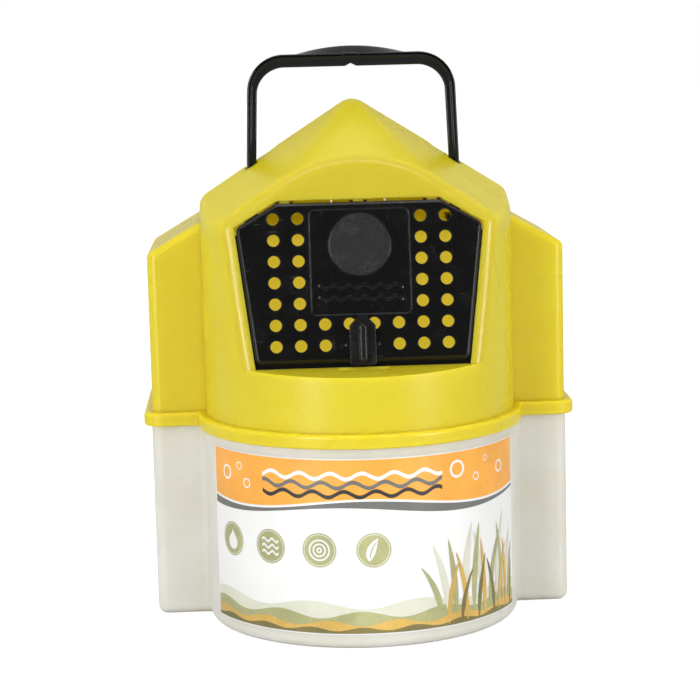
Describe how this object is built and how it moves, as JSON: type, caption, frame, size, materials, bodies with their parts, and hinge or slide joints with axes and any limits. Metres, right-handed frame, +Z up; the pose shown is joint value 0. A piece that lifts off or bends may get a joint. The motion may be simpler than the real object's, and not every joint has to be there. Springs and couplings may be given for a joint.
{
  "type": "flow-through bait bucket",
  "caption": "Small bait bucket with a rounded front and side wings, a gabled yellow cover, a perforated spring door, a turn latch and a sliding bail handle.",
  "frame": {"origin": "under the middle of the bounding box, on the plane of the base", "axes": "+Z up, -Y out of the front with the door, +X to the right seen from the front"},
  "size_m": [0.2486, 0.1976, 0.3258],
  "materials": {
    "tub_plastic": "translucent milky plastic, satin",
    "cover_plastic": "moulded yellow plastic, soft gloss",
    "label_film": "printed film with plain bands",
    "rod_steel": "drawn stainless rod",
    "retainer_steel": "pressed spring steel",
    "spring_steel": "spring wire",
    "door_plastic": "black moulded plastic, glossy",
    "latch_plastic": "black moulded plastic, scuffed",
    "clip_plastic": "black moulded plastic",
    "handle_plastic": "black moulded plastic, glossy",
    "foot_plastic": "black moulded plastic"
  },
  "bodies": {
    "hull": {"lower_tub": "tub_plastic", "upper_cover": "cover_plastic", "front_label": "label_film", "hinge_rod": "rod_steel", "rod_retainer_left": "retainer_steel", "rod_retainer_right": "retainer_steel", "door_spring_left": "spring_steel", "door_spring_right": "spring_steel"},
    "door_leaf": {"door": "door_plastic"},
    "latch": {"turn_latch": "latch_plastic", "latch_clip": "clip_plastic"},
    "bail": {"carry_handle": "handle_plastic", "handle_foot_left": "foot_plastic", "handle_foot_right": "foot_plastic"}
  },
  "joints": [
    {"name": "door_hinge", "type": "hinge", "parent": "hull", "child": "door_leaf", "pos_m": [0, -0.04676, 0.23919], "axis": [1, 0, 0], "range_deg": [0, 80], "stiffness_Nm_per_rad": 0.06, "springref_deg": -28.65, "deforming": ["door_spring_left", "door_spring_right"]},
    {"name": "latch_turn", "type": "hinge", "parent": "door_leaf", "child": "latch", "pos_m": [0, -0.06699, 0.16415], "axis": [0, -0.9853, 0.1711], "range_deg": [0, 180]},
    {"name": "handle_lift", "type": "slide", "parent": "hull", "child": "bail", "axis": [0, 0, 1], "range_m": [0, 0.018]}
  ]
}
